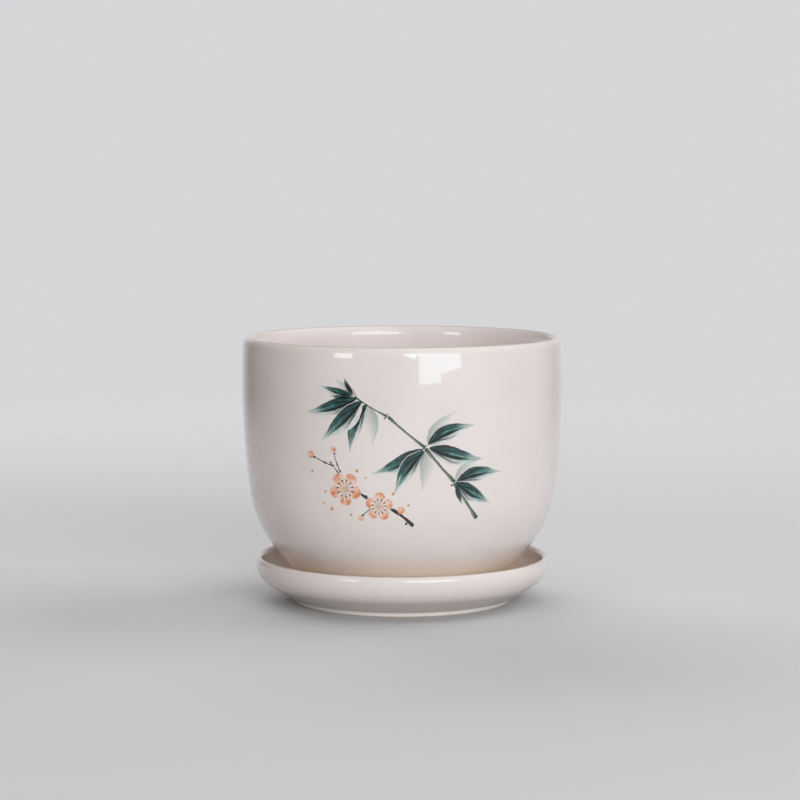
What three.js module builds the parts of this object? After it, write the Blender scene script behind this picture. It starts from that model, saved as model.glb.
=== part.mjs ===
import * as THREE from "three";

// A glazed ceramic planter: a thin-walled round pot with a drain hole, standing in its own saucer.
// Millimetres, +Z up. The origin is on the axis of both pieces, at the level that the saucer stands on.

// Pot, outside. Its heights are from its own foot.
const potHeight = 100;
const potWidestRadius = 63.4;
const potWidestHeight = 82.7;
const potWallBow = 327;
const potBellyTopHeight = 39.4;
const potBellyRadius = 47;
const potFootRadius = 37.6;
const potFootHeight = 1.2;

// Pot, wall and floor
const potWall = 3.5;
const potLipOuterRise = 2.8;
const potLipInnerRise = 4.6;
const potFloorThickness = 3.5;
const potFloorFillet = 9;
const potFootRingWidth = 4.6;
const potFootRecess = 1.5;
const potFootEdge = 0.5;
const drainHoleRadius = 6;

// Saucer, outside. Its heights are from the table.
const saucerRimRadius = 58.2;
const saucerRimHeight = 17.8;
const saucerTurnRadius = 10.4;
const saucerFootRadius = 43.2;
const saucerFootHeight = 1.5;
const saucerTuckWidth = 1.8;
const saucerTuckRadius = 1;

// Saucer, wall and floor
const saucerWall = 2.8;
const saucerLipRise = 2;
const saucerFloorThickness = 3.5;
const saucerFloorFillet = 7;
const saucerFootRingWidth = 4.4;
const saucerFootRecess = 1.5;
const saucerFootEdge = 0.4;

// The pot's foot stands on the saucer's flat floor
const saucerFloorLevel = saucerFootRecess + saucerFloorThickness;

// Fineness of the surfaces of revolution
const turnSegments = 72;
const bowSteps = 3;
const shoulderSteps = 2;
const bellySteps = 9;
const lipSteps = 4;
const filletSteps = 4;
const edgeSteps = 2;
const shortestStretch = 0.01;

const upright = Math.PI / 2;

function at(radius, height) {
  return new THREE.Vector2(radius, height);
}

function around(centre, radius, angle) {
  return at(centre.x + radius * Math.cos(angle), centre.y + radius * Math.sin(angle));
}

function arc(centre, radius, from, to, steps) {
  const clockwise = to < from;
  return new THREE.EllipseCurve(centre.x, centre.y, radius, radius, from, to, clockwise).getPoints(steps);
}

// The arc by which a wall turns in under itself, from its lowest upright point, start, until it runs
// straight to end. It is never larger than the arc that reaches end by itself.
function turnUnder(start, outward, radius, end) {
  const normal = around(at(0, 0), 1, outward);
  const across = end.clone().sub(start);
  const largest = -across.lengthSq() / (2 * across.dot(normal));
  const turn = Math.min(radius, largest);
  const centre = around(start, -turn, outward);
  const toEnd = end.clone().sub(centre);
  const spread = Math.acos(Math.min(1, turn / toEnd.length()));
  return { centre, radius: turn, top: outward, bottom: Math.atan2(toEnd.y, toEnd.x) + spread };
}

// The inner side of a turn: the wall's own arc less the wall, then straight on, and a fillet into the
// flat floor. The straight stretches lie between the arcs.
function insideOfTurn(turn, wall, floorHeight, filletRadius, steps) {
  const innerRadius = turn.radius - wall;
  const leaving = around(turn.centre, innerRadius, turn.bottom);
  const fall = leaving.y - floorHeight;
  const slope = fall / Math.cos(turn.bottom);
  const corner = at(leaving.x + slope * Math.sin(turn.bottom), floorHeight);
  const halfTurn = Math.tan((upright + turn.bottom) / 2);
  const fillet = Math.min(filletRadius, slope / halfTurn);
  const centre = at(corner.x - fillet * halfTurn, floorHeight + fillet);
  return [
    ...arc(turn.centre, innerRadius, turn.top, turn.bottom, steps),
    ...arc(centre, fillet, turn.bottom, -upright, filletSteps),
  ];
}

// One side of a rounded lip, from the crest down to where a wall that leans in by the angle lean takes over
function lipSide(crest, lean, face) {
  const root = at(crest.x + (crest.y - face.y) * Math.tan(lean), face.y);
  const across = face.clone().sub(root);
  const up = crest.clone().sub(root);
  return arc(at(0, 0), 1, upright, 0, lipSteps).map((turn) =>
    root.clone().addScaledVector(across, turn.x).addScaledVector(up, turn.y),
  );
}

// The outer rounded edge and the inner corner of a foot ring's flat bottom
function footRing(radius, width, edge) {
  return [at(radius - width, 0), ...arc(at(radius - edge, edge), edge, -upright, 0, edgeSteps)];
}

// A solid of revolution about +Z, from its section's outline, which runs up the outside
function revolve(outline) {
  const points = [];
  for (const point of outline) {
    const last = points.at(-1);
    if (!last || last.distanceTo(point) > shortestStretch) points.push(point);
  }
  return new THREE.LatheGeometry(points, turnSegments).rotateX(upright);
}

function potSection() {
  const bow = at(potWidestRadius - potWallBow, potWidestHeight);
  const innerBow = potWallBow - potWall;
  const middleBow = potWallBow - potWall / 2;
  const leanAt = (radius, height) => Math.asin((height - potWidestHeight) / radius);
  const crest = around(bow, middleBow, leanAt(middleBow, potHeight));
  const outerTop = leanAt(potWallBow, potHeight - potLipOuterRise);
  const innerTop = leanAt(innerBow, potHeight - potLipInnerRise);
  const bowBottom = leanAt(potWallBow, potBellyTopHeight);
  const bellyTop = around(bow, potWallBow, bowBottom);
  const footTop = at(potFootRadius, potFootHeight);
  const belly = turnUnder(bellyTop, bowBottom, potBellyRadius, footTop);
  const floorHeight = potFootRecess + potFloorThickness;
  const ringInside = potFootRadius - potFootRingWidth;
  const start = at(ringInside, potFootRecess);
  return [
    start,
    ...footRing(potFootRadius, potFootRingWidth, potFootEdge),
    footTop,
    ...arc(belly.centre, belly.radius, belly.bottom, belly.top, bellySteps),
    ...arc(bow, potWallBow, bowBottom, 0, bowSteps),
    ...arc(bow, potWallBow, 0, outerTop, shoulderSteps),
    ...lipSide(crest, outerTop, around(bow, potWallBow, outerTop)).reverse(),
    ...lipSide(crest, innerTop, around(bow, innerBow, innerTop)),
    ...arc(bow, innerBow, innerTop, 0, shoulderSteps),
    ...arc(bow, innerBow, 0, bowBottom, bowSteps),
    ...insideOfTurn(belly, potWall, floorHeight, potFloorFillet, bellySteps),
    at(drainHoleRadius, floorHeight),
    at(drainHoleRadius, potFootRecess),
    start.clone(),
  ];
}

function saucerSection() {
  const crest = at(saucerRimRadius - saucerWall / 2, saucerRimHeight);
  const wallTop = at(saucerRimRadius, saucerRimHeight - saucerLipRise);
  const innerTop = at(saucerRimRadius - saucerWall, wallTop.y);
  const tuckTop = at(saucerFootRadius + saucerTuckWidth, saucerFootHeight);
  const wall = turnUnder(wallTop, 0, saucerTurnRadius, tuckTop);
  const tuckCentre = at(saucerFootRadius + saucerTuckRadius, saucerFootHeight - saucerTuckRadius);
  return [
    at(0, saucerFootRecess),
    at(saucerFootRadius - saucerFootRingWidth, saucerFootRecess),
    ...footRing(saucerFootRadius, saucerFootRingWidth, saucerFootEdge),
    ...arc(tuckCentre, saucerTuckRadius, Math.PI, upright, edgeSteps),
    tuckTop,
    ...arc(wall.centre, wall.radius, wall.bottom, wall.top, bellySteps),
    ...lipSide(crest, 0, wallTop).reverse(),
    ...lipSide(crest, 0, innerTop),
    ...insideOfTurn(wall, saucerWall, saucerFloorLevel, saucerFloorFillet, bellySteps),
    at(0, saucerFloorLevel),
  ];
}

// Ivory glaze over a pale body, high gloss
const potGlaze = new THREE.MeshStandardMaterial({ color: 0xe9e0d8, roughness: 0.12, metalness: 0 });
const saucerGlaze = new THREE.MeshStandardMaterial({ color: 0xe6dcd4, roughness: 0.14, metalness: 0 });

const pot = new THREE.Mesh(revolve(potSection()), potGlaze);
pot.name = "pot";
pot.position.z = saucerFloorLevel;

const saucer = new THREE.Mesh(revolve(saucerSection()), saucerGlaze);
saucer.name = "saucer";

const planter = new THREE.Group();
planter.add(saucer, pot);

export default planter;
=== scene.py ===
"""A glazed ceramic plant pot standing in its own saucer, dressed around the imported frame.

Metres, +Z up. The table is at zero, the axis of both pieces is upright through the origin, and the
painted side faces -Y. Places on the painting are in millimetres: round the wall to the right of the
front, and up from the table.
"""

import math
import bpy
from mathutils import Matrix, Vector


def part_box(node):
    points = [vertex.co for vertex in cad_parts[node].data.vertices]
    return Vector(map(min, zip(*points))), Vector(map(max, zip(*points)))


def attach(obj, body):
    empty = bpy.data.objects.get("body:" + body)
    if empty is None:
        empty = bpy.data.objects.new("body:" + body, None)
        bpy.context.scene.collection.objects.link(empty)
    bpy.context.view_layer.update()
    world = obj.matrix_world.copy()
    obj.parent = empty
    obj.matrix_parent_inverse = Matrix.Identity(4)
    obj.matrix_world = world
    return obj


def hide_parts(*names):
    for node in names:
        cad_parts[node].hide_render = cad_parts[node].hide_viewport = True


bl_info = {
    "name": "Ceramic Planter",
    "version": (1, 0, 0),
    "blender": (4, 5, 0),
    "location": "View3D > Sidebar > Planter",
    "description": "Builds a glazed plant pot, its saucer and a plain studio around the packed frame",
    "category": "Add Mesh",
}

import bmesh
import bpy
from bpy.props import FloatProperty, FloatVectorProperty, PointerProperty
from mathutils import Matrix, Vector

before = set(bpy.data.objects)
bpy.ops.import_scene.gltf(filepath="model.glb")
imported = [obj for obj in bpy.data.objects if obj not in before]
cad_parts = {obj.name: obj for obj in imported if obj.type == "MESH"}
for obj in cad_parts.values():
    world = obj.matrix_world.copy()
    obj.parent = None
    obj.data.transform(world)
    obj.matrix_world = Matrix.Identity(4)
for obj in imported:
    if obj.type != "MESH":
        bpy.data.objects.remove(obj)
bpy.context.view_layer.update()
POT_LOW, POT_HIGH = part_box("pot")
SAUCER_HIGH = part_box("saucer")[1]

MM = 0.001
QUARTER = math.pi / 2

# Fineness of the surfaces of revolution
TURN_STEPS = 256
LONGEST_STRETCH = 1.5 * MM
WIDEST_STEP = math.radians(9)
LIP_STEPS = 14
MERGE_DISTANCE = 0.001 * MM

# Scales of the noise in the glaze and in the bare clay, per metre
MOTTLE_SCALE = 48.0
DRIFT_SCALE = 38.0
SPECK_SCALE = 210.0
PEEL_SCALE = 520.0
WAVE_SCALE = 42.0
GRAIN_SCALE = 2600.0
STAIN_SCALE = 160.0

# Over what heights the glaze changes colour: how uneven and how tall the edge of the peach toward the foot
# is, partly painted warm bounce light, how far the thin glaze and the rim's colour reach down, and where the
# saucer's tan floor wash, partly painted shade, sets in and is full
BLUSH_AND_BOUNCE_DRIFT = 5 * MM
BLUSH_AND_BOUNCE_FALL = 12.5 * MM
THIN_FALL = 1.0 * MM
CREST_FALL = (0.35 * MM, 0.08 * MM)
FLOOR_WASH_AND_SHADE_LEVELS = (16 * MM, 9 * MM)

# How strongly those colours and the specks show, how large a speck is in its cell, and how rare
THIN_SHARE = 0.35
CREST_SHARE = 0.65
FLOOR_WASH_AND_SHADE_SHARE = 0.85
SPECK_SHARE = 0.5
SPECK_EDGE = (0.07, 0.03)
SPECK_RARITY = 0.9

# Relief: waves and specks beside the glaze's peel, and the depth of the peel and of the clay's pores
WAVE_RELIEF = 9.0
SPECK_RELIEF = -1.5
PEEL_DEPTH = 0.006 * MM
PORE_DEPTH = 0.05 * MM

# The wall's radius where the painting is unrolled, and how far its edges are ragged, in millimetres
PAINTED_RADIUS = 63.0
RAGGEDNESS = 0.5

# Strokes: the least cover that hides what lies beneath, and the thinnest half width that is divided by
LEAST_COVER = 0.004
THINNEST = 0.05

# A dot's soft edge, from bare to full, as shares of its radius
DOT_EDGE = (1.15, 0.55)

# The studio: where the lights stand, the floor's disc, where it fades into the backdrop, and where the
# mirrored room turns from dark to dim, left to right, and then to the backdrop, toward the back
PANE_DISTANCE = 1.2
PANE_LEVEL = 0.1
LAMP_DISTANCE = 1.6
LAMP_LEVEL = 0.06
FLOOR_RADIUS = 3.0
FLOOR_LEVEL = -0.02 * MM
FLOOR_STEPS = 96
FLOOR_STRETCH = 0.1
FLOOR_FADE = (0.25, 0.9)
SIDE_FADE = (-0.35, 0.35)
BACK_FADE = (0.72, 0.98)
SENSOR_WIDTH = 36

# The narrow light at the front left: azimuth and elevation in degrees, width and height
STRIP_DIRECTION = (-40.8, 6.5)
STRIP_SIZE = (0.28, 0.273)

# Panes of light that the glaze mirrors as a window: name, azimuths of the left and the right edge,
# elevations of the foot and the top, rise of the foot to the right, all in degrees, and relative brightness
PANES = (
    ("window_light", (11.5, 26.7), (-4.3, 19.0), 0.0, 1.0),
    ("window_light_side", (26.7, 41.3), (-2.4, 19.0), 1.6, 1.0),
    ("window_light_edge", (1.2, 11.0), (1.3, 13.5), -20.0, 1.5),
)

# Strokes of the painting: root, direction in degrees, length, half width, bend. Millimetres.
CULMS = (
    ((31.0, 39.5), 126.5, 17.2, 0.95, 0.25),
    ((20.6, 54.0), 131.7, 17.8, 0.86, 0.25),
    ((8.5, 67.6), 139.8, 18.1, 0.74, 0.2),
    ((-5.6, 79.4), 150.0, 14.3, 0.56, 0.3),
)
JOINTS = (
    ((19.0, 52.8), 36.0, 3.4, 0.52, -0.4),
    ((7.0, 66.5), 46.0, 3.2, 0.5, -0.4),
    ((-6.8, 78.4), 57.0, 2.8, 0.46, -0.3),
)
LEAVES = (
    ((-18.5, 87.0), 165.0, 15.0, 2.0, 0.8),
    ((-13.0, 84.0), 250.0, 21.0, 3.4, -1.2),
    ((-17.0, 86.0), 195.0, 23.0, 3.6, 1.6),
    ((-15.0, 85.0), 222.0, 24.0, 3.9, 1.0),
    ((9.5, 68.5), 20.0, 21.0, 3.5, 1.4),
    ((8.0, 67.0), 205.0, 23.0, 3.6, 1.8),
    ((8.5, 66.5), 236.0, 21.0, 3.7, -1.0),
    ((10.0, 67.5), -12.0, 24.0, 3.9, -1.6),
    ((21.0, 54.0), 8.0, 21.0, 3.5, 1.3),
    ((21.0, 54.0), -28.0, 19.0, 3.5, -1.2),
)
FAR_LEAVES = (
    ((-12.6, 83.4), 274.0, 16.0, 2.7, 0.9),
    ((-17.0, 86.6), 142.0, 12.0, 2.0, 0.6),
    ((9.2, 67.0), 264.0, 17.0, 2.9, 0.9),
    ((9.4, 69.0), 47.0, 17.0, 2.7, 1.0),
    ((20.6, 54.6), 38.0, 14.0, 2.4, 0.9),
)
SHOOTS = (
    ((-18.4, 87.2), 118.0, 8.5, 1.15, 0.5),
    ((-19.2, 86.6), 178.0, 9.5, 1.2, 0.6),
    ((21.4, 53.4), 290.0, 9.5, 1.25, -0.5),
)
TWIGS = (
    ((4.6, 37.4), 150.0, 21.5, 0.9, -1.4),
    ((-13.4, 48.0), 139.0, 18.0, 0.7, 0.9),
    ((-26.6, 60.0), 158.0, 10.0, 0.5, 0.5),
    ((-9.4, 45.6), 214.0, 8.0, 0.5, -0.4),
    ((-24.0, 57.6), 108.0, 8.0, 0.46, 0.4),
)

# Blossoms: heart, radius, turn in radians. Dots of paint: place, radius. Millimetres.
BLOSSOMS = (
    ((-22.5, 51.5), 6.8, 0.3),
    ((-9.0, 45.0), 5.8, 1.0),
)
BUDS = (((-36.8, 63.9), 1.6), ((-0.4, 43.6), 1.7), ((-16.4, 40.4), 1.4), ((-26.6, 66.4), 1.3))
MOSS = (
    ((-35.4, 63.0), 0.6), ((-0.2, 41.6), 0.65), ((-15.6, 41.6), 0.5), ((-26.4, 64.8), 0.5),
    ((-14.0, 48.9), 0.55), ((1.6, 38.4), 0.6), ((-28.0, 61.2), 0.5),
)
POLLEN = (
    ((-28.5, 43.5), 0.85), ((-17.5, 58.5), 0.75), ((-31.0, 50.0), 0.6), ((-3.5, 50.0), 0.7),
    ((2.5, 45.6), 0.55), ((-20.5, 41.5), 0.65), ((-36.5, 57.5), 0.6), ((-32.0, 45.5), 0.45),
    ((-14.0, 56.0), 0.45),
)

# The brush's width from root to tip, as places along a stroke and shares of its half width
LEAF_PROFILE = ((0, 0), (0.05, 0.34), (0.16, 0.72), (0.34, 1), (0.56, 0.84), (0.8, 0.36), (1, 0))
TWIG_PROFILE = ((0, 0), (0.04, 1), (0.3, 0.66), (0.42, 0.95), (0.55, 0.6), (0.75, 0.66), (1, 0))
CULM_PROFILE = ((0, 0), (0.02, 0.95), (0.08, 1), (0.3, 0.78), (0.75, 0.78), (0.94, 1), (0.985, 0.9), (1, 0))

# The cosine of this many times the angle has five humps, one for each petal, when its sign is dropped
PETAL_TURNS = 2.5
STAMENS = 11.0


def shade(red, green, blue):
    """The linear colour of three sRGB display values from 0 to 255."""
    return tuple(((value / 255 + 0.055) / 1.055) ** 2.4 for value in (red, green, blue))


def length(name, description, default):
    """A size of a piece, in metres, with its default."""
    kind = {"min": 0, "precision": 5, "subtype": "DISTANCE", "unit": "LENGTH"}
    return FloatProperty(name=name, description=description, default=default, **kind)


def paint(name, description, red, green, blue):
    """A colour of a finish, with its default in display values from 0 to 255."""
    kind = {"default": shade(red, green, blue), "min": 0, "max": 1, "size": 3, "subtype": "COLOR"}
    return FloatVectorProperty(name=name, description=description, **kind)


def amount(name, description, default, largest=1.0):
    """A plain number of a finish or a light, with its default."""
    return FloatProperty(name=name, description=description, default=default, min=0, max=largest)


class PlanterPotSizes(bpy.types.PropertyGroup):
    """Sizes of the pot, whose heights are from its own foot"""

    height: length("Height", "Foot to the crest of the lip", POT_HIGH.z - POT_LOW.z)
    widest_radius: length("Widest radius", "Axis to the outside at the widest height", POT_HIGH.x)
    widest_height: length("Widest height", "Foot to the widest part of the wall", 82.7 * MM)
    wall_bow: length("Wall bow", "Radius by which the upper wall bows outward", 327 * MM)
    belly_top_height: length("Belly top", "Foot to where the wall starts to turn under", 39.4 * MM)
    belly_radius: length("Belly radius", "Radius by which the wall turns under", 47 * MM)
    foot_radius: length("Foot radius", "Axis to the outside of the foot ring", 37.6 * MM)
    foot_height: length("Foot height", "Height of the foot ring's side", 1.2 * MM)
    foot_fillet: length("Foot fillet", "Hollow where the foot ring meets the wall", 0.9 * MM)
    foot_ring_width: length("Foot ring width", "Width of the flat that the pot stands on", 4.6 * MM)
    foot_recess: length("Foot recess", "Depth of the underside inside the foot ring", 1.5 * MM)
    foot_edge: length("Foot edge", "Rounding of the foot ring's edges", 0.4 * MM)
    glaze_line: length("Glaze line", "Height at which the glaze begins above the bare foot", 0.6 * MM)
    glaze_depth: length("Glaze depth", "Thickness of the glaze where it ends", 0.12 * MM)
    recess_fillet: length("Recess fillet", "Hollow between the underside and the foot ring", 0.8 * MM)
    wall: length("Wall", "Thickness of the wall", 3.5 * MM)
    lip_outer_rise: length("Lip outer rise", "Height of the lip's outer rounding", 2.8 * MM)
    lip_inner_rise: length("Lip inner rise", "Height of the lip's inner rounding", 4.6 * MM)
    floor_thickness: length("Floor thickness", "Thickness of the floor", 3.5 * MM)
    floor_fillet: length("Floor fillet", "Hollow between the inner wall and the floor", 9 * MM)
    drain_radius: length("Drain radius", "Radius of the drain hole", 6 * MM)
    drain_roll: length("Drain roll", "Rounding of the drain hole's upper edge", 1 * MM)
    drain_edge: length("Drain edge", "Rounding of the drain hole's lower edge", 0.5 * MM)


class PlanterSaucerSizes(bpy.types.PropertyGroup):
    """Sizes of the saucer, whose heights are from the table"""

    rim_height: length("Rim height", "Table to the crest of the rim", SAUCER_HIGH.z)
    rim_radius: length("Rim radius", "Axis to the outside of the rim", SAUCER_HIGH.x)
    turn_radius: length("Turn radius", "Radius by which the wall turns under", 9.8 * MM)
    lip_rise: length("Lip rise", "Height of the rim's rounding", 2.5 * MM)
    crest_inset: length("Crest inset", "Outside of the rim to its crest", 1.15 * MM)
    wall: length("Wall", "Thickness of the wall", 2.8 * MM)
    floor_level: length("Floor level", "Table to the floor that the pot stands on", POT_LOW.z)
    floor_fillet: length("Floor fillet", "Hollow between the inner wall and the floor", 7 * MM)
    foot_radius: length("Foot radius", "Axis to the outside of the foot ring", 43.2 * MM)
    foot_height: length("Foot height", "Height of the foot ring's side", 1.9 * MM)
    foot_ring_width: length("Foot ring width", "Width of the flat that the saucer stands on", 4.4 * MM)
    foot_recess: length("Foot recess", "Depth of the underside inside the foot ring", 1.5 * MM)
    foot_edge: length("Foot edge", "Rounding of the foot ring's edges", 0.24 * MM)
    glaze_line: length("Glaze line", "Height at which the glaze begins above the bare foot", 0.26 * MM)
    glaze_depth: length("Glaze depth", "Thickness of the glaze where it ends", 0.08 * MM)
    recess_fillet: length("Recess fillet", "Hollow between the underside and the foot ring", 0.8 * MM)
    tuck_width: length("Tuck width", "Width of the underside's flat beside the foot ring", 1.8 * MM)
    tuck_radius: length("Tuck radius", "Hollow between the foot ring and the underside", 0.4 * MM)
    tuck_round: length("Tuck round", "Rounding where the underside starts to rise", 1.5 * MM)


class PlanterFinish(bpy.types.PropertyGroup):
    """Colours and gloss of the glaze, the bare clay and the painting"""

    ivory: paint("Ivory glaze", "Colour of the glaze", 232, 223, 221)
    ivory_deep: paint("Pooled glaze", "Colour where the glaze lies thicker", 228, 218, 215)
    ivory_thin: paint("Thin glaze", "Warm colour where the glaze is thin, on the lips", 228, 214, 203)
    rim: paint("Rim", "Colour of the thinnest glaze, on the crest of a lip", 186, 170, 160)
    # Peach toward the foot: partly the glaze's blush, partly painted warm bounce light and painted light on
    # the shaded lower wall
    blush_and_bounce: paint("Blush", "Peach colour toward the foot", 255, 233, 208)
    # Tan on the saucer's floor: partly thin glaze, partly painted shade where the pot overhangs and shades
    # the floor
    floor_wash_and_shade: paint("Bare wash", "Tan colour of the thin glaze on the saucer's floor", 222, 198, 174)
    speck: paint("Specks", "Colour of faint iron specks", 168, 142, 120)
    clay: paint("Bare clay", "Colour of the unglazed foot rings", 224, 213, 202)
    clay_shadow: paint("Clay pores", "Colour in the pores of the bare clay", 190, 170, 148)
    glaze_roughness: amount("Glaze roughness", "Roughness under the clear surface of the glaze", 0.22)
    gloss_roughness: amount("Gloss roughness", "Roughness of the glaze's clear surface", 0.028)
    clay_roughness: amount("Clay roughness", "Roughness of the bare clay", 0.82)
    ink: paint("Ink", "Darkest colour of the painting", 12, 20, 24)
    teal: paint("Teal", "Deep colour of the leaves", 22, 84, 80)
    sea: paint("Sea green", "Middle colour of the leaves", 74, 146, 138)
    mist: paint("Mist", "Palest wash of the leaves", 184, 218, 212)
    olive: paint("Olive", "Edges of the stems", 58, 84, 62)
    reed: paint("Reed", "Pale middle of the stems", 140, 158, 122)
    coral: paint("Coral", "Rims of the petals", 218, 130, 84)
    rose: paint("Rose", "Wash of the petals", 238, 190, 168)
    amber: paint("Amber", "Dots and the hearts of the blossoms", 208, 146, 66)


class PlanterStudio(bpy.types.PropertyGroup):
    """Camera, floor and lights"""

    lens: amount("Lens", "Focal length in millimetres on a 36 mm sensor", 118.9, 500)
    camera_distance: length("Camera distance", "Camera to the planter's axis, along Y", 1.0434)
    camera_height: length("Camera height", "Camera above the table", 0.17965)
    camera_aside: length("Camera aside", "Camera to the left of the axis", 0.8 * MM)
    camera_pitch: FloatProperty(
        name="Camera pitch", description="How far the camera looks down", default=0.0957, unit="ROTATION"
    )
    backdrop: paint("Backdrop", "Pale colour of the backdrop and of the floor far away", 214, 214, 217)
    floor: paint("Floor", "Colour of the floor as it is seen", 250, 250, 252)
    floor_gain: amount("Floor gain", "Share of its colour that the floor shows", 0.63, 10)
    floor_bounce: paint("Floor bounce", "Colour by which the floor lights the planter", 168, 166, 164)
    room: paint("Room", "Dim colour of the room in front, as the glaze mirrors it", 126, 124, 124)
    dark_side: paint("Dark side", "Colour of the room on the left, as the glaze mirrors it", 70, 68, 68)
    window_tint: paint("Window tint", "Colour of the cool light of the windows", 225, 249, 255)
    soft_tint: paint("Soft tint", "Colour of the warm light of the key lamp", 255, 246, 243)
    ambient: paint("Ambient", "Light from all round", 122, 119, 118)
    window: amount("Window", "Brightness of the window at the front right", 4.2, 100)
    strip: amount("Strip", "Brightness of the narrow light at the front left", 5.2, 100)
    key: amount("Key", "Brightness of the low soft light at the front right", 4.4, 100)
    side: amount("Side", "Brightness of the soft light at the right", 2.4, 100)
    back: amount("Back", "Brightness of the soft light at the back left", 3.2, 100)
    top: amount("Top", "Brightness of the soft light overhead", 1.2, 100)


def at(radius, height):
    """A point of a section."""
    return Vector((radius, height))


def around(centre, radius, angle):
    """A point on a circle in a section."""
    return centre + radius * at(math.cos(angle), math.sin(angle))


class Section:
    """Half of a piece's cross-section, drawn as one line that keeps the solid on its left."""

    def __init__(self, start, stretch=LONGEST_STRETCH):
        self.mesh = bmesh.new()
        self.stretch = stretch
        self.tip = bmesh.ops.create_vert(self.mesh, co=(start.x, 0, start.y))["vert"][0]

    @property
    def point(self):
        return at(self.tip.co.x, self.tip.co.z)

    def line(self, end):
        """Runs straight to a point, in short stretches so that the shading stays local."""
        start = self.point
        count = max(1, math.ceil((end - start).length / self.stretch))
        for step in range(count):
            place = start.lerp(end, (step + 1) / count)
            self.tip = bmesh.ops.extrude_vert_indiv(self.mesh, verts=[self.tip])["verts"][0]
            self.tip.co = (place.x, 0, place.y)

    def arc(self, centre, turn, steps=0):
        """Turns about a centre, counterclockwise where the turn is positive."""
        reach = abs(turn) * (self.point - centre).length
        steps = steps or max(2, math.ceil(abs(turn) / WIDEST_STEP), math.ceil(reach / self.stretch))
        spun = bmesh.ops.spin(
            self.mesh, geom=[self.tip], cent=(centre.x, 0, centre.y), axis=(0, -1, 0), angle=turn, steps=steps
        )
        self.tip = spun["geom_last"][0]

    def corner(self, corner, beyond, radius):
        """Runs to a corner, rounded by a radius, and leaves it towards the point beyond."""
        heading = (corner - self.point).normalized()
        leaving = (beyond - corner).normalized()
        turn = math.atan2(heading.cross(leaving), heading.dot(leaving))
        self.line(corner - heading * radius * math.tan(abs(turn) / 2))
        left = at(-heading.y, heading.x)
        self.arc(self.point + math.copysign(radius, turn) * left, turn)

    def lip_side(self, crest, face, lean, turn):
        """Draws one side of a rounded lip, a skewed quarter circle between its crest and the wall's face."""
        root = at(crest.x + (crest.y - face.y) * math.tan(lean), face.y)
        across, up = face - root, crest - root
        skew = Matrix(
            ((across.x, 0, up.x, root.x), (0, 1, 0, 0), (across.y, 0, up.y, root.y), (0, 0, 0, 1))
        )
        first = self.tip
        before = set(self.mesh.verts) - {first}
        bmesh.ops.transform(self.mesh, matrix=skew.inverted(), verts=[first])
        self.arc(at(0, 0), turn, LIP_STEPS)
        drawn = [vertex for vertex in self.mesh.verts if vertex not in before]
        bmesh.ops.transform(self.mesh, matrix=skew, verts=drawn)

    def revolve(self, name, base=0.0, steps=TURN_STEPS):
        """Spins the section about the upright axis and gives the finished object."""
        mesh = self.mesh
        bmesh.ops.translate(mesh, vec=(0, 0, base), verts=mesh.verts)
        bmesh.ops.remove_doubles(mesh, verts=mesh.verts, dist=MERGE_DISTANCE)
        bmesh.ops.spin(
            mesh,
            geom=mesh.verts[:] + mesh.edges[:],
            cent=(0, 0, 0),
            axis=(0, 0, 1),
            angle=2 * math.pi,
            steps=steps,
            use_merge=True,
        )
        bmesh.ops.remove_doubles(mesh, verts=mesh.verts, dist=MERGE_DISTANCE)
        bmesh.ops.dissolve_degenerate(mesh, edges=mesh.edges, dist=MERGE_DISTANCE)
        bmesh.ops.recalc_face_normals(mesh, faces=mesh.faces)
        for face in mesh.faces:
            face.smooth = True
        data = bpy.data.meshes.new(name)
        mesh.to_mesh(data)
        mesh.free()
        piece = bpy.data.objects.new(name, data)
        bpy.context.scene.collection.objects.link(piece)
        return piece


def turn_under(start, outward, radius, end):
    """The arc by which a wall turns in under itself until it runs straight to its end.

    Gives its centre, its radius and the angle at which it ends.
    """
    normal = around(at(0, 0), 1, outward)
    across = end - start
    radius = min(radius, -across.length_squared / (2 * across.dot(normal)))
    centre = around(start, -radius, outward)
    reach = end - centre
    last = math.atan2(reach.y, reach.x) + math.acos(min(1, radius / reach.length))
    return centre, radius, last


def draw_foot(section, sizes):
    """Draws the underside's recess and the foot ring, bare clay up to the rolled edge of the glaze."""
    inside = sizes.foot_radius - sizes.foot_ring_width
    bare = sizes.foot_radius - sizes.glaze_depth
    section.corner(at(inside, sizes.foot_recess), at(inside, 0), sizes.recess_fillet)
    section.corner(at(inside, 0), at(bare, 0), sizes.foot_edge)
    section.corner(at(bare, 0), at(bare, sizes.glaze_line), sizes.foot_edge)
    section.line(at(bare, sizes.glaze_line))
    section.arc(at(bare, sizes.glaze_line + sizes.glaze_depth), QUARTER)


def draw_inner_floor(section, turn, wall, floor, fillet):
    """Draws the wall's inner side from the foot of its turn down to the flat floor."""
    centre, radius, last = turn
    leaving = around(centre, radius - wall, last)
    slope = (leaving.y - floor) / math.cos(last)
    fillet = min(fillet, slope / math.tan((QUARTER + last) / 2))
    section.corner(at(leaving.x + slope * math.sin(last), floor), at(0, floor), fillet)


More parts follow.
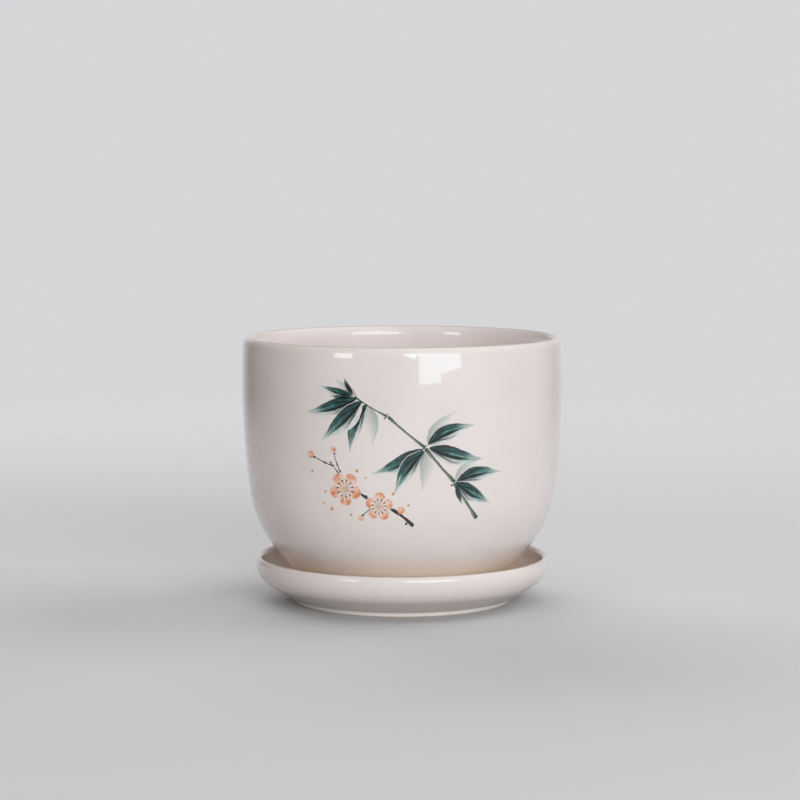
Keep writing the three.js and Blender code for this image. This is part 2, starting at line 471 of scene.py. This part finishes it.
def pot_section(sizes):
    """The pot's section: up the outside, over the lip, down the inside and through the drain hole."""
    bow = at(sizes.widest_radius - sizes.wall_bow, sizes.widest_height)
    inner_bow = sizes.wall_bow - sizes.wall
    middle_bow = sizes.wall_bow - sizes.wall / 2

    def lean_at(radius, height):
        return math.asin((height - sizes.widest_height) / radius)

    crest = around(bow, middle_bow, lean_at(middle_bow, sizes.height))
    outer_top = lean_at(sizes.wall_bow, sizes.height - sizes.lip_outer_rise)
    inner_top = lean_at(inner_bow, sizes.height - sizes.lip_inner_rise)
    bow_bottom = lean_at(sizes.wall_bow, sizes.belly_top_height)
    foot_top = at(sizes.foot_radius, sizes.foot_height)
    belly_top = around(bow, sizes.wall_bow, bow_bottom)
    belly = turn_under(belly_top, bow_bottom, sizes.belly_radius, foot_top)
    centre, radius, last = belly
    floor = sizes.foot_recess + sizes.floor_thickness

    start = at(sizes.foot_radius / 2, sizes.foot_recess)
    section = Section(start)
    draw_foot(section, sizes)
    section.corner(foot_top, around(centre, radius, last), sizes.foot_fillet)
    section.line(around(centre, radius, last))
    section.arc(centre, bow_bottom - last)
    section.arc(bow, outer_top - bow_bottom)
    section.lip_side(crest, around(bow, sizes.wall_bow, outer_top), outer_top, QUARTER)
    section.lip_side(crest, around(bow, inner_bow, inner_top), inner_top, -QUARTER)
    section.arc(bow, bow_bottom - inner_top)
    section.arc(centre, last - bow_bottom)
    draw_inner_floor(section, belly, sizes.wall, floor, sizes.floor_fillet)
    section.corner(at(sizes.drain_radius, floor), at(sizes.drain_radius, 0), sizes.drain_roll)
    section.corner(at(sizes.drain_radius, sizes.foot_recess), start, sizes.drain_edge)
    section.line(start)
    return section


def saucer_section(sizes):
    """The saucer's section: from the axis under the foot ring, up the wall, over the rim and back."""
    crest = at(sizes.rim_radius - sizes.crest_inset, sizes.rim_height)
    wall_top = at(sizes.rim_radius, sizes.rim_height - sizes.lip_rise)
    tuck_top = at(sizes.foot_radius + sizes.tuck_width, sizes.foot_height)
    turn = turn_under(wall_top, 0, sizes.turn_radius, tuck_top)
    centre, radius, last = turn
    tuck = at(sizes.foot_radius + sizes.tuck_radius, sizes.foot_height - sizes.tuck_radius)

    section = Section(at(0, sizes.foot_recess))
    draw_foot(section, sizes)
    section.line(at(sizes.foot_radius, tuck.y))
    section.arc(tuck, -QUARTER)
    section.corner(tuck_top, around(centre, radius, last), sizes.tuck_round)
    section.line(around(centre, radius, last))
    section.arc(centre, -last)
    section.lip_side(crest, wall_top, 0, QUARTER)
    section.lip_side(crest, wall_top - at(sizes.wall, 0), 0, -QUARTER)
    section.arc(centre, last)
    draw_inner_floor(section, turn, sizes.wall, sizes.floor_level, sizes.floor_fillet)
    section.line(at(0, sizes.floor_level))
    return section


def with_alpha(colour):
    """A colour as a node takes it. One that comes from another node stays as it is."""
    return colour if isinstance(colour, bpy.types.NodeSocket) else (*colour, 1.0)


class Recipe:
    """A node tree in the making. Every call adds nodes, and all but node give what the last puts out."""

    def __init__(self, tree):
        self.tree = tree

    def node(self, kind, inputs=(), **settings):
        node = self.tree.nodes.new(kind)
        for name, value in settings.items():
            setattr(node, name, value)
        for key, value in dict(inputs).items():
            if isinstance(value, bpy.types.NodeSocket):
                self.tree.links.new(value, node.inputs[key])
            else:
                node.inputs[key].default_value = value
        return node

    def math(self, operation, *values):
        return self.node("ShaderNodeMath", enumerate(values), operation=operation).outputs[0]

    def times(self, value, factor):
        return self.math("MULTIPLY", value, factor)

    def plus(self, value, added):
        return self.math("ADD", value, added)

    def minus(self, value, taken):
        return self.math("SUBTRACT", value, taken)

    def blend(self, value, factor, added):
        """A value times a factor, plus another value."""
        return self.math("MULTIPLY_ADD", value, factor, added)

    def size(self, value):
        """How large a value is, whatever its sign."""
        return self.math("ABSOLUTE", value)

    def cosine(self, angle):
        return self.math("COSINE", angle)

    def vector(self, operation, *values, out="Vector"):
        return self.node("ShaderNodeVectorMath", enumerate(values), operation=operation).outputs[out]

    def measure(self, operation, *values):
        return self.vector(operation, *values, out="Value")

    def join(self, *values):
        return self.node("ShaderNodeCombineXYZ", enumerate(values)).outputs[0]

    def split(self, vector):
        return self.node("ShaderNodeSeparateXYZ", {0: vector}).outputs

    def fade(self, value, start, end, low=0.0, high=1.0):
        """Goes smoothly from low to high while the value goes from start to end."""
        inputs = {"Value": value, "From Min": start, "From Max": end, "To Min": low, "To Max": high}
        return self.node("ShaderNodeMapRange", inputs, interpolation_type="SMOOTHSTEP").outputs["Result"]

    def mix(self, factor, under, over):
        inputs = {0: factor, 6: with_alpha(under), 7: with_alpha(over)}
        return self.node("ShaderNodeMix", inputs, data_type="RGBA").outputs[2]

    def mix_vector(self, factor, under, over):
        return self.node("ShaderNodeMix", {0: factor, 4: under, 5: over}, data_type="VECTOR").outputs[1]

    def noise(self, place, scale, detail=2.0, roughness=0.5, out=0):
        inputs = {"Vector": place, "Scale": scale, "Detail": detail, "Roughness": roughness}
        return self.node("ShaderNodeTexNoise", inputs).outputs[out]

    def ramp(self, value, *stops):
        """A colour for each value, evenly between the stops."""
        node = self.node("ShaderNodeValToRGB", {0: value})
        elements = node.color_ramp.elements
        while len(elements) < len(stops):
            elements.new(1.0)
        for element, (position, colour) in zip(elements, stops):
            element.position = position
            element.color = with_alpha(colour)
        return node.outputs[0]

    def bump(self, height, strength, depth):
        inputs = {"Height": height, "Strength": strength, "Distance": depth}
        return self.node("ShaderNodeBump", inputs).outputs[0]

    def group(self, tree, inputs):
        return self.node("ShaderNodeGroup", inputs, node_tree=tree).outputs[0]


def new_group(name, vectors, numbers):
    """An empty node group with these inputs and one vector that it puts out."""
    tree = bpy.data.node_groups.new(name, "ShaderNodeTree")
    for label in vectors:
        tree.interface.new_socket(name=label, in_out="INPUT", socket_type="NodeSocketVector")
    for label in numbers:
        tree.interface.new_socket(name=label, in_out="INPUT", socket_type="NodeSocketFloat")
    tree.interface.new_socket(name="Over", in_out="OUTPUT", socket_type="NodeSocketVector")
    recipe = Recipe(tree)
    return recipe, recipe.node("NodeGroupInput").outputs


def finish_group(recipe, under, across, along, cover):
    """Puts a stroke's own coordinates and its cover over those of the strokes beneath it."""
    touched = recipe.math("GREATER_THAN", cover, LEAST_COVER)
    layer = recipe.mix_vector(touched, under, recipe.join(along, across, cover))
    recipe.node("NodeGroupOutput", {0: layer})
    return recipe.tree


def stroke_group(name, profile, softness):
    """One pull of the brush. Its width follows the profile, and it may bend to one side."""
    recipe, given = new_group(name, ("Place", "Along", "Across", "Under"), ("Bend", "Half Width"))
    along = recipe.measure("DOT_PRODUCT", given["Place"], given["Along"])
    across = recipe.measure("DOT_PRODUCT", given["Place"], given["Across"])
    hump = recipe.times(along, recipe.minus(1.0, along))
    aside = recipe.minus(across, recipe.times(hump, given["Bend"]))
    width = recipe.node("ShaderNodeFloatCurve", {"Value": along})
    curve = width.mapping.curves[0]
    curve.points[0].location = profile[0]
    curve.points[1].location = profile[-1]
    for point in profile[1:-1]:
        curve.points.new(*point)
    width.mapping.extend = "HORIZONTAL"
    width.mapping.update()
    half = recipe.times(width.outputs[0], given["Half Width"])
    inside = recipe.minus(half, recipe.size(aside))
    cover = recipe.fade(inside, 0.0, softness)
    share = recipe.math("DIVIDE", aside, recipe.math("MAXIMUM", half, THINNEST))
    return finish_group(recipe, given["Under"], share, along, cover)


def blossom_group(name):
    """A five-petalled blossom. It gives the distance from the heart, the angle round it and the cover."""
    recipe, given = new_group(name, ("Place", "Heart", "Under"), ("Radius", "Turn"))
    offset = recipe.vector("SUBTRACT", given["Place"], given["Heart"])
    distance = recipe.measure("LENGTH", offset)
    parts = recipe.split(offset)
    angle = recipe.plus(recipe.math("ARCTAN2", parts[1], parts[0]), given["Turn"])
    lobe = recipe.size(recipe.cosine(recipe.times(angle, PETAL_TURNS)))
    lobe = recipe.math("POWER", lobe, 0.5)
    edge = recipe.times(given["Radius"], recipe.blend(lobe, 0.45, 0.55))
    cover = recipe.fade(recipe.minus(edge, distance), 0.0, 0.7)
    share = recipe.math("DIVIDE", distance, given["Radius"])
    return finish_group(recipe, given["Under"], angle, share, cover)


def lay_strokes(recipe, group, place, strokes):
    """Lays strokes one over another and gives along, across and cover of the uppermost.

    Across goes upward, whichever way a stroke is drawn.
    """
    layer = (0.0, 0.0, 0.0)
    for (right, up), direction, reach, half_width, bend in strokes:
        cosine, sine = math.cos(math.radians(direction)), math.sin(math.radians(direction))
        side = math.copysign(1, cosine)
        inputs = {
            "Place": place,
            "Along": (cosine / reach, sine / reach, -(right * cosine + up * sine) / reach),
            "Across": (-side * sine, side * cosine, side * (right * sine - up * cosine)),
            "Bend": 4 * side * bend,
            "Half Width": half_width,
            "Under": layer,
        }
        layer = recipe.group(group, inputs)
    return recipe.split(layer)


def lay_blossoms(recipe, place):
    """Lays the blossoms and gives distance, angle and cover of the uppermost."""
    blossom = blossom_group("Blossom")
    layer = (0.0, 0.0, 0.0)
    for heart, radius, turn in BLOSSOMS:
        inputs = {"Place": place, "Heart": (*heart, 1.0), "Radius": radius, "Turn": turn, "Under": layer}
        layer = recipe.group(blossom, inputs)
    return recipe.split(layer)


def lay_dots(recipe, place, dots):
    """The cover of small round dots of paint."""
    cover = 0.0
    for centre, radius in dots:
        distance = recipe.measure("DISTANCE", place, (*centre, 1.0))
        dot = recipe.fade(distance, DOT_EDGE[0] * radius, DOT_EDGE[1] * radius)
        cover = recipe.math("MAXIMUM", cover, dot)
    return cover


def bristles(recipe, along, across, offset, streaks):
    """Streaks that the brush's hairs leave along a stroke."""
    place = recipe.join(recipe.times(along, 2.2), recipe.times(across, streaks), offset)
    return recipe.noise(place, 1.6, detail=3.0, roughness=0.6)


def paint_far_leaves(recipe, colour, place, leaf, finish):
    """Pale leaves behind the others, fainter on the lower side and toward the tip."""
    along, across, cover = lay_strokes(recipe, leaf, place, FAR_LEAVES)
    streak = bristles(recipe, along, across, offset=11.0, streaks=4.0)
    faint = recipe.blend(streak, 0.9, recipe.minus(across, along))
    faint = recipe.fade(faint, -1.3, 1.2, low=0.04, high=0.5)
    far = recipe.mix(recipe.fade(along, 0.8, 0.0), finish.sea, finish.teal)
    return recipe.mix(recipe.times(cover, faint), colour, far)


def paint_culms(recipe, colour, place, finish):
    """The bamboo's stems: pale below the middle, dark at the edges and at both ends of a stroke."""
    culm = stroke_group("Culm stroke", CULM_PROFILE, softness=0.3)
    along, across, cover = lay_strokes(recipe, culm, place, CULMS)
    streak = bristles(recipe, along, across, offset=3.0, streaks=5.0)
    edge = recipe.math("POWER", recipe.size(recipe.plus(across, 0.3)), 1.4)
    tone = recipe.blend(edge, 0.8, recipe.blend(streak, 1.0, -0.24))
    ends = recipe.fade(recipe.size(recipe.minus(along, 0.5)), 0.36, 0.5, high=0.4)
    tone = recipe.plus(tone, ends)
    stops = (0.1, finish.reed), (0.48, finish.olive), (0.78, finish.teal), (1.0, finish.ink)
    return recipe.mix(recipe.times(cover, 0.94), colour, recipe.ramp(tone, *stops))


def paint_twigs(recipe, colour, place, bloom, finish):
    """The plum's twigs and the bamboo's joints in dry ink, hidden where a blossom lies over them."""
    twig = stroke_group("Twig stroke", TWIG_PROFILE, softness=0.26)
    along, across, cover = lay_strokes(recipe, twig, place, TWIGS + JOINTS)
    streak = bristles(recipe, along, across, offset=7.0, streaks=3.0)
    dry = recipe.fade(streak, 0.3, 0.5, low=0.72)
    dry = recipe.times(dry, recipe.minus(1.0, bloom))
    bark = recipe.mix(recipe.fade(along, 0.3, 1.0, high=0.5), finish.ink, finish.olive)
    return recipe.mix(recipe.times(cover, dry), colour, bark)


def paint_leaves(recipe, colour, place, right, leaf, wash, finish):
    """The young shoots in ink, and the leaves: dark above and washed out below, with ribs in ink."""
    along, across, cover = lay_strokes(recipe, leaf, place, SHOOTS)
    dry = recipe.fade(along, 1.1, 0.5, low=0.35, high=0.95)
    colour = recipe.mix(recipe.times(cover, dry), colour, finish.ink)

    along, across, cover = lay_strokes(recipe, leaf, place, LEAVES)
    streak = bristles(recipe, along, across, offset=recipe.times(right, 0.05), streaks=5.0)
    rough = recipe.minus(streak, 0.5)
    tone = recipe.blend(across, 0.46, recipe.blend(along, -0.5, 0.7))
    tone = recipe.plus(rough, tone)
    tone = recipe.blend(recipe.minus(wash, 0.5), 0.7, tone)
    stops = (0.02, finish.mist), (0.3, finish.sea), (0.62, finish.teal), (1.0, finish.ink)
    blade = recipe.ramp(tone, *stops)
    feather = recipe.fade(recipe.blend(rough, 1.5, across), -1.0, 0.25, low=0.04)
    dry = recipe.blend(rough, 0.9, recipe.minus(1.0, along))
    dry = recipe.fade(dry, -0.05, 0.4, low=0.15)
    washed = recipe.times(cover, recipe.times(feather, dry))
    colour = recipe.mix(recipe.times(washed, 0.97), colour, blade)

    rib = recipe.size(recipe.blend(rough, 0.25, recipe.plus(across, 0.05)))
    rib = recipe.fade(rib, recipe.fade(along, 0.0, 0.9, low=0.34, high=0.14), 0.06)
    rib = recipe.times(rib, recipe.fade(along, 0.92, 0.5))
    side = recipe.fade(along, 0.0, 0.55, low=0.1, high=0.6)
    side = recipe.size(recipe.minus(recipe.size(across), side))
    side = recipe.times(recipe.fade(side, 0.15, 0.04), recipe.fade(along, 0.62, 0.3, high=0.8))
    vein = recipe.times(recipe.math("MAXIMUM", rib, side), cover)
    return recipe.mix(recipe.times(vein, 0.97), colour, finish.ink)


def paint_blossoms(recipe, colour, share, angle, bloom, wash, finish):
    """The plum's petals, rosy with coral rims and an amber heart, and their stamens in ink."""
    middle = recipe.size(recipe.cosine(recipe.times(angle, PETAL_TURNS)))
    veins = recipe.join(recipe.times(share, 0.8), recipe.times(angle, 2.4), 0.0)
    veins = recipe.noise(veins, 2.0, detail=3.0)
    tone = recipe.blend(veins, 0.9, recipe.minus(share, 0.45))
    tone = recipe.blend(recipe.minus(wash, 0.5), 1.2, tone)
    stops = (0.0, finish.amber), (0.16, finish.rose), (0.5, finish.rose), (0.9, finish.coral)
    petal = recipe.ramp(tone, *stops)
    faint = recipe.blend(veins, 0.8, recipe.blend(wash, 0.9, share))
    faint = recipe.fade(faint, 0.75, 1.85, low=0.16)
    faint = recipe.times(faint, recipe.fade(middle, 0.03, 0.34, low=0.15))
    heart = recipe.fade(share, 0.34, 0.05, high=0.7)
    petals = recipe.times(bloom, recipe.math("MAXIMUM", faint, heart))
    colour = recipe.mix(petals, colour, petal)

    spoke = recipe.cosine(recipe.blend(veins, 1.6, recipe.times(angle, STAMENS)))
    stamen = recipe.times(recipe.fade(spoke, 0.78, 0.97), recipe.fade(share, 0.44, 0.4))
    stamen = recipe.times(stamen, recipe.fade(share, 0.06, 0.14))
    anther = recipe.fade(recipe.size(recipe.minus(share, 0.46)), 0.09, 0.04)
    anther = recipe.times(anther, recipe.fade(spoke, 0.35, 0.75))
    stamen = recipe.times(recipe.math("MAXIMUM", stamen, anther), bloom)
    return recipe.mix(recipe.times(stamen, 0.9), colour, finish.ink)


def painted(recipe, colour, place, right, finish):
    """The sprays on the wall, laid over the glaze's colour: bamboo, a plum twig, its blossoms and dots.

    The third number of a place is made 1, so that a stroke's dot products can add a constant.
    """
    scatter = recipe.noise(place, 0.55, detail=3.0, roughness=0.65, out=1)
    ragged = recipe.vector("MULTIPLY_ADD", scatter, (RAGGEDNESS, RAGGEDNESS, 0.0), place)
    place = recipe.vector("ADD", ragged, (-RAGGEDNESS / 2, -RAGGEDNESS / 2, 1.0))
    wash = recipe.noise(place, 0.35)
    leaf = stroke_group("Leaf stroke", LEAF_PROFILE, softness=0.45)
    share, angle, bloom = lay_blossoms(recipe, place)

    colour = paint_far_leaves(recipe, colour, place, leaf, finish)
    colour = paint_culms(recipe, colour, place, finish)
    colour = paint_twigs(recipe, colour, place, bloom, finish)
    colour = paint_leaves(recipe, colour, place, right, leaf, wash, finish)
    colour = paint_blossoms(recipe, colour, share, angle, bloom, wash, finish)

    bud = recipe.mix(recipe.fade(recipe.noise(place, 0.9), 0.4, 0.62), finish.rose, finish.coral)
    for dots, cover, tint in ((BUDS, 0.9, bud), (MOSS, 0.95, finish.ink), (POLLEN, 0.9, finish.amber)):
        colour = recipe.mix(recipe.times(lay_dots(recipe, place, dots), cover), colour, tint)
    return colour


def new_material(name):
    material = bpy.data.materials.new(name)
    material.use_nodes = True
    material.node_tree.nodes.clear()
    recipe = Recipe(material.node_tree)
    place = recipe.node("ShaderNodeTexCoord").outputs["Object"]
    return material, recipe, place


def finish_material(recipe, shader):
    recipe.node("ShaderNodeOutputMaterial", {"Surface": shader.outputs[0]})


def glaze_material(name, finish, lip_height, blush_and_bounce_top, most_blush_and_bounce, has_painting=False):
    """Glossy ivory glaze: mottled, thin and warm on the lip, faintly specked.

    Toward the foot it turns peach, partly its own blush and partly painted warm bounce light. Without the
    painting, upward faces low down take a tan wash, partly thin glaze and partly painted shade.
    """
    material, recipe, place = new_material(name)
    x, y, z = recipe.split(place)
    mottle = recipe.noise(place, MOTTLE_SCALE, detail=3.0)
    colour = recipe.mix(recipe.fade(mottle, 0.3, 0.75), finish.ivory, finish.ivory_deep)

    # Peach toward the foot on outward faces: partly the glaze's blush, partly painted warm bounce light from
    # the saucer and painted light where the saucer's rim shades the lower wall
    drift = recipe.blend(recipe.noise(place, DRIFT_SCALE), BLUSH_AND_BOUNCE_DRIFT, z)
    normal = recipe.node("ShaderNodeNewGeometry").outputs["Normal"]
    radial = recipe.vector("NORMALIZE", recipe.join(x, y, 0.0))
    outward = recipe.fade(recipe.measure("DOT_PRODUCT", normal, radial), 0.0, 0.1)
    blush_and_bounce = recipe.fade(drift, blush_and_bounce_top, blush_and_bounce_top - BLUSH_AND_BOUNCE_FALL, high=most_blush_and_bounce)
    colour = recipe.mix(recipe.times(blush_and_bounce, outward), colour, finish.blush_and_bounce)

    thin = recipe.fade(z, lip_height - THIN_FALL, lip_height, high=THIN_SHARE)
    colour = recipe.mix(thin, colour, finish.ivory_thin)
    crest = recipe.fade(z, lip_height - CREST_FALL[0], lip_height - CREST_FALL[1], high=CREST_SHARE)
    colour = recipe.mix(crest, colour, finish.rim)

    cells = recipe.node("ShaderNodeTexVoronoi", {"Vector": place, "Scale": SPECK_SCALE})
    tiny = recipe.fade(cells.outputs["Distance"], *SPECK_EDGE)
    rare = recipe.math("GREATER_THAN", recipe.split(cells.outputs["Color"])[0], SPECK_RARITY)
    specks = recipe.times(tiny, rare)
    colour = recipe.mix(recipe.times(specks, SPECK_SHARE), colour, finish.speck)

    if has_painting:
        angle = recipe.math("ARCTAN2", x, recipe.times(y, -1.0))
        right = recipe.times(angle, PAINTED_RADIUS)
        wall_place = recipe.join(right, recipe.math("DIVIDE", z, MM), 0.0)
        colour = recipe.mix(outward, colour, painted(recipe, colour, wall_place, right, finish))
    else:
        # On the saucer, upward faces low down take a tan wash: partly thin glaze, partly painted shade under
        # the pot
        upward = recipe.fade(recipe.split(normal)[2], 0.0, 0.1)
        wash_and_shade = recipe.fade(drift, *FLOOR_WASH_AND_SHADE_LEVELS, high=FLOOR_WASH_AND_SHADE_SHARE)
        colour = recipe.mix(recipe.times(upward, wash_and_shade), colour, finish.floor_wash_and_shade)

    peel = recipe.noise(place, PEEL_SCALE)
    wave = recipe.noise(place, WAVE_SCALE, detail=1.0)
    height = recipe.blend(specks, SPECK_RELIEF, recipe.blend(wave, WAVE_RELIEF, peel))
    bump = recipe.bump(height, 0.5, PEEL_DEPTH)
    inputs = {
        "Base Color": colour,
        "Roughness": finish.glaze_roughness,
        "Specular IOR Level": 0.1,
        "Coat Weight": 1.0,
        "Coat Roughness": finish.gloss_roughness,
        "Normal": bump,
        "Coat Normal": bump,
    }
    finish_material(recipe, recipe.node("ShaderNodeBsdfPrincipled", inputs))
    return material


def clay_material(name, finish):
    """Bare fired clay of a foot ring: matte, with grains and pores."""
    material, recipe, place = new_material(name)
    grain = recipe.noise(place, GRAIN_SCALE, detail=4.0, roughness=0.7)
    stain = recipe.noise(place, STAIN_SCALE, detail=3.0)
    colour = recipe.mix(recipe.fade(grain, 0.35, 0.65), finish.clay_shadow, finish.clay)
    colour = recipe.mix(recipe.fade(stain, 0.45, 0.8, high=0.35), colour, finish.clay_shadow)
    inputs = {
        "Base Color": colour,
        "Roughness": finish.clay_roughness,
        "Specular IOR Level": 0.3,
        "Normal": recipe.bump(grain, 0.6, PORE_DEPTH),
    }
    finish_material(recipe, recipe.node("ShaderNodeBsdfPrincipled", inputs))
    return material


def dress(piece, glaze, clay, bare_below):
    """Gives a piece its glaze, and bare clay on the faces of its foot ring."""
    piece.data.materials.append(glaze)
    piece.data.materials.append(clay)
    for face in piece.data.polygons:
        if face.center.z < bare_below:
            face.material_index = 1


class PLANTER_OT_pot(bpy.types.Operator):
    """Builds the pot with its glaze and painting"""

    bl_idname = "planter.pot"
    bl_label = "Build Pot"

    def execute(self, context):
        sizes, finish = context.scene.planter_pot, context.scene.planter_finish
        pot = pot_section(sizes).revolve("glazed_pot", POT_LOW.z)
        # Up to 28.5 mm the pot's outside turns peach, partly painted warm bounce light from the saucer
        glaze = glaze_material(
            "pot glaze", finish, lip_height=POT_HIGH.z, blush_and_bounce_top=28.5 * MM, most_blush_and_bounce=0.8, has_painting=True
        )
        dress(pot, glaze, clay_material("pot clay", finish), POT_LOW.z + sizes.glaze_line)
        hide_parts("pot")
        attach(pot, "pot")
        return {"FINISHED"}


class PLANTER_OT_saucer(bpy.types.Operator):
    """Builds the saucer with its glaze"""

    bl_idname = "planter.saucer"
    bl_label = "Build Saucer"

    def execute(self, context):
        sizes, finish = context.scene.planter_saucer, context.scene.planter_finish
        saucer = saucer_section(sizes).revolve("glazed_saucer")
        # Low on its outside the saucer turns faintly peach, partly painted warm bounce light
        glaze = glaze_material(
            "saucer glaze", finish, lip_height=SAUCER_HIGH.z, blush_and_bounce_top=16 * MM, most_blush_and_bounce=0.12
        )
        dress(saucer, glaze, clay_material("saucer clay", finish), sizes.glaze_line)
        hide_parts("saucer")
        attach(saucer, "saucer")
        return {"FINISHED"}


def aim(azimuth, elevation, distance, height):
    """A place round the planter and the turn that faces its axis at a height.

    Azimuth 0 is in front and 90 on the right.
    """
    level = distance * math.cos(math.radians(elevation))
    place = Vector(
        (
            level * math.sin(math.radians(azimuth)),
            -level * math.cos(math.radians(azimuth)),
            height + distance * math.sin(math.radians(elevation)),
        )
    )
    turn = (Vector((0, 0, height)) - place).to_track_quat("-Z", "Y")
    return Matrix.Translation(place) @ turn.to_matrix().to_4x4()


def add_lamp(name, where, width, height, brightness, tint, mirrored=False):
    """A rectangular soft light, as bright as the number says. Only a mirrored one shows in the glaze."""
    light = bpy.data.lights.new(name, "AREA")
    light.shape = "RECTANGLE"
    light.size = width
    light.size_y = height
    light.energy = brightness * math.pi * width * height
    light.color = tint
    lamp = bpy.data.objects.new(name, light)
    lamp.visible_camera = False
    lamp.visible_glossy = mirrored
    lamp.matrix_world = where
    bpy.context.scene.collection.objects.link(lamp)


def add_pane(name, azimuths, elevations, rise, brightness, tint):
    """An upright soft light in front that the glaze mirrors, rolled so that its foot rises to the right."""
    left, right = (PANE_DISTANCE * math.tan(math.radians(angle)) for angle in azimuths)
    bottom, top = (PANE_LEVEL + PANE_DISTANCE * math.tan(math.radians(angle)) for angle in elevations)
    centre = Vector(((left + right) / 2, -PANE_DISTANCE, (bottom + top) / 2))
    roll = Matrix.Rotation(math.radians(-rise), 4, "Y") @ Matrix.Rotation(QUARTER, 4, "X")
    where = Matrix.Translation(centre) @ roll
    add_lamp(name, where, right - left, top - bottom, brightness, tint, mirrored=True)


def floor_material(name, studio):
    """A matte pale floor that fades into the backdrop with distance.

    It shows one colour to the camera, in gloss and through glass, and lights the planter with another.
    """
    material, recipe, place = new_material(name)
    path = recipe.node("ShaderNodeLightPath").outputs
    seen = recipe.math("MAXIMUM", path["Is Camera Ray"], path["Is Glossy Ray"])
    seen = recipe.math("MAXIMUM", seen, path["Is Transmission Ray"])
    shown = tuple(value * studio.floor_gain for value in studio.floor)
    near = recipe.node("ShaderNodeBsdfDiffuse", {"Color": recipe.mix(seen, studio.floor_bounce, shown)})
    clear = recipe.node("ShaderNodeBsdfTransparent")
    share = recipe.fade(recipe.measure("LENGTH", place), *FLOOR_FADE)
    both = recipe.node("ShaderNodeMixShader", {0: share, 1: near.outputs[0], 2: clear.outputs[0]})
    finish_material(recipe, both)
    return material


def backdrop_world(name, studio):
    """A soft ambient light that the camera sees as the pale backdrop.

    As the glaze mirrors it, it is pale behind the planter, dim in front and darker on the left.
    """
    world = bpy.data.worlds.new(name)
    world.use_nodes = True
    world.node_tree.nodes.clear()
    recipe = Recipe(world.node_tree)
    path = recipe.node("ShaderNodeLightPath").outputs
    direction = recipe.split(recipe.node("ShaderNodeTexCoord").outputs["Generated"])
    sides = recipe.mix(recipe.fade(direction[0], *SIDE_FADE), studio.dark_side, studio.room)
    mirrored = recipe.mix(recipe.fade(direction[1], *BACK_FADE), sides, studio.backdrop)
    colour = recipe.mix(path["Is Glossy Ray"], studio.ambient, mirrored)
    seen = recipe.math("MAXIMUM", path["Is Camera Ray"], path["Is Transmission Ray"])
    glow = recipe.node("ShaderNodeBackground", {"Color": recipe.mix(seen, colour, studio.backdrop)})
    recipe.node("ShaderNodeOutputWorld", {"Surface": glow.outputs[0]})
    return world


class PLANTER_OT_stage(bpy.types.Operator):
    """Sets up the floor, the backdrop, the lights and the camera"""

    bl_idname = "planter.stage"
    bl_label = "Build Studio"

    def execute(self, context):
        scene, studio = context.scene, context.scene.planter_studio
        floor = Section(at(0, 0), FLOOR_STRETCH)
        floor.line(at(FLOOR_RADIUS, 0))
        floor = floor.revolve("studio_floor", FLOOR_LEVEL, FLOOR_STEPS)
        floor.data.materials.append(floor_material("studio floor", studio))
        scene.world = backdrop_world("studio", studio)

        for name, azimuths, elevations, rise, gain in PANES:
            add_pane(name, azimuths, elevations, rise, gain * studio.window, studio.window_tint)
        neutral = (1, 1, 1)
        where = aim(*STRIP_DIRECTION, PANE_DISTANCE, PANE_LEVEL)
        add_lamp("strip_light", where, *STRIP_SIZE, studio.strip, neutral, mirrored=True)
        for name, azimuth, elevation, width, height, brightness, tint in (
            ("key_light", 20, 15, 1.0, 0.8, studio.key, studio.soft_tint),
            ("side_light", 110, 40, 1.2, 1.0, studio.side, neutral),
            ("back_light", -160, 28, 1.6, 1.0, studio.back, neutral),
            ("top_light", 0, 85, 1.2, 1.2, studio.top, neutral),
        ):
            where = aim(azimuth, elevation, LAMP_DISTANCE, LAMP_LEVEL)
            add_lamp(name, where, width, height, brightness, tint)

        camera = bpy.data.objects.new("camera", bpy.data.cameras.new("camera"))
        camera.data.lens = studio.lens
        camera.data.sensor_width = SENSOR_WIDTH
        camera.location = (-studio.camera_aside, -studio.camera_distance, studio.camera_height)
        camera.rotation_euler = (QUARTER - studio.camera_pitch, 0, 0)
        scene.collection.objects.link(camera)
        scene.camera = camera
        scene.view_settings.view_transform = "Standard"
        return {"FINISHED"}


class PLANTER_PT_panel(bpy.types.Panel):
    """Sizes, finishes and the steps that build the planter"""

    bl_idname = "PLANTER_PT_panel"
    bl_label = "Ceramic Planter"
    bl_space_type = "VIEW_3D"
    bl_region_type = "UI"
    bl_category = "Planter"

    def draw(self, context):
        for title, group, operator in (
            ("Pot", context.scene.planter_pot, "planter.pot"),
            ("Saucer", context.scene.planter_saucer, "planter.saucer"),
            ("Finish", context.scene.planter_finish, None),
            ("Studio", context.scene.planter_studio, "planter.stage"),
        ):
            box = self.layout.box()
            box.label(text=title)
            for name in group.__annotations__:
                box.prop(group, name)
            if operator:
                box.operator(operator)


GROUPS = {
    "planter_pot": PlanterPotSizes,
    "planter_saucer": PlanterSaucerSizes,
    "planter_finish": PlanterFinish,
    "planter_studio": PlanterStudio,
}
CLASSES = (*GROUPS.values(), PLANTER_OT_pot, PLANTER_OT_saucer, PLANTER_OT_stage, PLANTER_PT_panel)


def register():
    for kind in CLASSES:
        bpy.utils.register_class(kind)
    for name, group in GROUPS.items():
        setattr(bpy.types.Scene, name, PointerProperty(type=group))


def unregister():
    for name in GROUPS:
        delattr(bpy.types.Scene, name)
    for kind in reversed(CLASSES):
        bpy.utils.unregister_class(kind)


def main():
    register()
    bpy.ops.planter.pot()
    bpy.ops.planter.saucer()
    bpy.ops.planter.stage()


if __name__ == "__main__":
    main()
